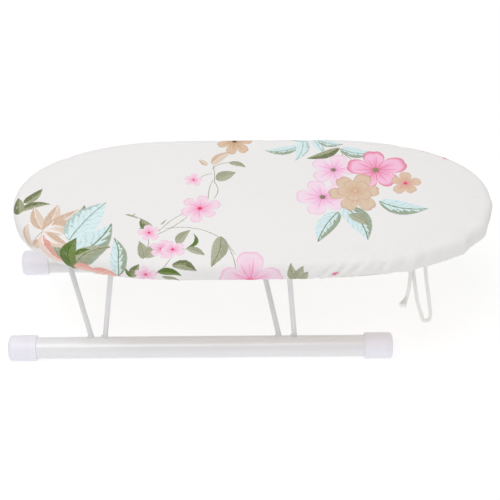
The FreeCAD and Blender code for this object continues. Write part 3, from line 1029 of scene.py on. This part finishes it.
def rope_strands(line, diameter, spread=None, closed=False):
    """The centre lines and radii of the strands twisted round a line."""
    side, up = frames_along(line)
    travel = distances(line)
    turns = travel / LAY_LENGTH
    if closed:
        turns = turns * round(turns[-1]) / turns[-1]
    radius = STRAND_SHARE * diameter
    offset = ROPE_SHARE * diameter - radius
    spread = np.zeros(len(line)) if spread is None else spread
    strands = []
    for strand in range(STRANDS):
        angle = 2 * math.pi * (turns + strand / STRANDS)
        reach = offset + spread
        centre = line + side * (np.cos(angle) * reach)[:, None] + up * (np.sin(angle) * reach)[:, None]
        strands.append((centre, np.full(len(line), radius)))
    return strands


def build_rope(name, strands, material):
    points, faces, corners = [], [], []
    for centre, radii in strands:
        tube_part(centre, radii, STRAND_SIDES, points, faces, corners)
    return mesh_object(name, points, faces, {"yarn": corners}, material)


ROPE_STEP = 0.55 * MM
FRAY_LENGTH = 21 * MM
FRAY_SPREAD = 2.3 * MM


def build_cords(material):
    """The drawstring's hanging loop and its frayed tail."""
    line = smooth_line(LOOP_ROUTE, ROPE_STEP)
    loop = build_rope("cord_loop", rope_strands(line, CORD_DIAMETER), material)
    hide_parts("drawstring_loop")
    line = smooth_line(TAIL_ROUTE, ROPE_STEP)
    rest = np.linalg.norm(np.diff(line, axis=0), axis=1)
    to_end = np.concatenate((np.cumsum(rest[::-1])[::-1], [0.0]))
    open_share = np.clip(1.0 - to_end / FRAY_LENGTH, 0.0, 1.0)
    strands = rope_strands(line, CORD_DIAMETER, FRAY_SPREAD * open_share**1.4)
    thin = 1.0 - 0.8 * open_share
    tail = build_rope("cord_tail", [(centre, radii * thin) for centre, radii in strands], material)
    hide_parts("drawstring_tail")
    fray = build_fray(line, strands, open_share, material)


YARNS = 12
YARN_RADIUS = 0.27 * MM
LONGEST_CUT = 9


def build_fray(line, strands, open_share, material):
    """The fine yarns that fan out of the tail's open strands, mostly to the left."""
    chance = random.Random(21)
    points, faces, corners = [], [], []
    opened = np.nonzero(open_share > 0.1)[0]
    for centre, _ in strands:
        for _ in range(YARNS):
            first = chance.choice(opened[: len(opened) // 2])
            last = len(line) - chance.randrange(LONGEST_CUT)
            part = line[first:last] + (centre[first] - line[first])
            grow = np.linspace(0.0, 1.0, len(part))
            way = Vector((chance.uniform(-1.3, 0.5), chance.uniform(-0.8, 0.8), chance.uniform(0.0, 0.5)))
            reach = chance.uniform(1.0, 5.5) * MM
            curl = chance.uniform(0.1, 0.6) * MM
            phase = chance.uniform(0, 2 * math.pi)
            bent = part + np.outer(grow**1.4, np.array(way) * reach)
            bent[:, 0] += curl * np.sin(grow * 5 + phase) * grow
            bent[:, 1] += curl * np.cos(grow * 4 + phase) * grow
            bent = even_points(bent, 0.8 * MM)
            radii = YARN_RADIUS * np.linspace(1.0, 0.5, len(bent))
            tube_part(bent, radii, 5, points, faces, corners)
    return mesh_object("cord_fray", points, faces, {"yarn": corners}, material)


RING_AROUND = 1400
RING_INSET = 20.5
RING_SHARE = 0.9


def build_ring(material):
    """The drawstring where it runs in its casing, once round the board."""
    points, normals, _, _ = board_outline(RING_AROUND)
    plan = points - normals * RING_INSET * MM
    low, high = (corner[2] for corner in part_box("drawstring_ring"))
    line = at_height(plan, 0.5 * (low + high))
    line[:, 0] += BOARD_X
    line = np.concatenate((line, line[:1]))
    ring = build_rope("cord_in_casing", rope_strands(line, RING_SHARE * (high - low), closed=True), material)
    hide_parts("drawstring_ring")


# ---- everything on the board ----


def build_board():
    """The cords first, then the cover and its foam."""
    cord_cotton = cord_material()
    build_cords(cord_cotton)
    build_ring(cord_cotton)
    _, _, out = cover_line()
    seams = (out[-1] * MM, (out[-1] - HEM_TURN) * MM)
    cover = build_cover(cover_material(seams))
    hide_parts("cover")
    pad = build_pad(foam_material())
    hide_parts("foam_pad")


def dress(node, material):
    """Give a CAD node that is shown as it is a material."""
    piece = bpy.data.objects[node]
    for slot in piece.material_slots:
        slot.material = material


# How high the coats' orange peel stands.
TUBE_PEEL = 0.05 * MM
WIRE_PEEL = 0.04 * MM


def dress_cad():
    """Give the CAD nodes that stay their materials."""
    tube = coated_material("white_powder_coat", tint(232, 232, 235), tint(243, 243, 245), TUBE_PEEL, 0.24)
    wire = coated_material("grey_white_wire_coat", tint(222, 223, 225), tint(237, 238, 240), WIRE_PEEL, 0.28)
    cap = cap_material()
    clip = metal_material("zinc_plated_strip", tint(150, 152, 156), tint(196, 198, 200), 0.3)
    screw = metal_material("zinc_plated_screw", tint(138, 138, 136), tint(190, 190, 186), 0.26)
    dress("board_panel", fibreboard_material())
    for foot in ("front_", "rear_"):
        dress(foot + "tube", tube)
        dress(foot + "cap_left", cap)
        dress(foot + "cap_right", cap)
        for name in ("upright_frame", "brace_frame", "weld_beads"):
            dress(foot + name, wire)
        for name in ("upright_clip_1", "upright_clip_2", "brace_clip_1", "brace_clip_2"):
            dress(foot + name, clip)
        dress(foot + "clip_screws", screw)


# ==== the studio ====

# In metres, looking along +Y and down by the tilt.
CAMERA_PLACE = (0.00675, -1.0339, 1.1630)
CAMERA_TILT = math.radians(45.7)
CAMERA_ROLL = math.radians(-0.43)
CAMERA_LENS = 94.3
SENSOR_WIDTH = 36.0
LIGHTS_AIM = Vector((0, 0, 0.1))
FLOOR_HALF = 6.0
FLOOR_GREY = 0.30
FLOOR_GLOW = 0.75
WORLD_STRENGTH = 0.49

# Round soft lights: name, place, size and power.
LIGHTS = (
    ("key", (-0.35, -0.55, 1.85), 1.3, 15),
    ("fill", (1.1, -0.9, 1.1), 1.6, 1.5),
    ("back", (0.2, 1.3, 1.5), 1.6, 5),
)


def build_camera():
    data = bpy.data.cameras.new("camera")
    data.lens = CAMERA_LENS
    data.sensor_width = SENSOR_WIDTH
    camera = scene_object("camera", data)
    turn = Matrix.Rotation(0.5 * math.pi - CAMERA_TILT, 4, "X") @ Matrix.Rotation(CAMERA_ROLL, 4, "Z")
    camera.matrix_world = Matrix.Translation(CAMERA_PLACE) @ turn
    bpy.context.scene.camera = camera


def area_light(name, place, size, power):
    data = bpy.data.lights.new(name, "AREA")
    data.shape = "DISK"
    data.size = size
    data.energy = power
    light = scene_object(name, data)
    way = LIGHTS_AIM - Vector(place)
    light.matrix_world = Matrix.Translation(place) @ way.to_track_quat("-Z", "Y").to_matrix().to_4x4()


def build_floor():
    mesh = bpy.data.meshes.new("studio_floor")
    signs = ((-1, -1), (1, -1), (1, 1), (-1, 1))
    corners = [(x * FLOOR_HALF, y * FLOOR_HALF, 0) for x, y in signs]
    mesh.from_pydata(corners, [], [(0, 1, 2, 3)])
    floor = scene_object("studio_floor", mesh)
    nodes = new_material("studio_white")
    grey = (FLOOR_GREY, FLOOR_GREY, FLOOR_GREY, 1.0)
    set_all(nodes.shader, {"Base Color": grey, "Roughness": 0.9})
    set_all(nodes.shader, {"Emission Color": WHITE, "Emission Strength": FLOOR_GLOW})
    mesh.materials.append(nodes.material)


def build_studio():
    build_camera()
    build_floor()
    world = bpy.data.worlds.new("studio_world")
    world.use_nodes = True
    set_all(world.node_tree.nodes["Background"], {"Color": WHITE, "Strength": WORLD_STRENGTH})
    bpy.context.scene.world = world
    bpy.context.scene.view_settings.view_transform = "Standard"
    for name, place, size, power in LIGHTS:
        area_light(name, place, size, power)


build_studio()
build_board()
dress_cad()
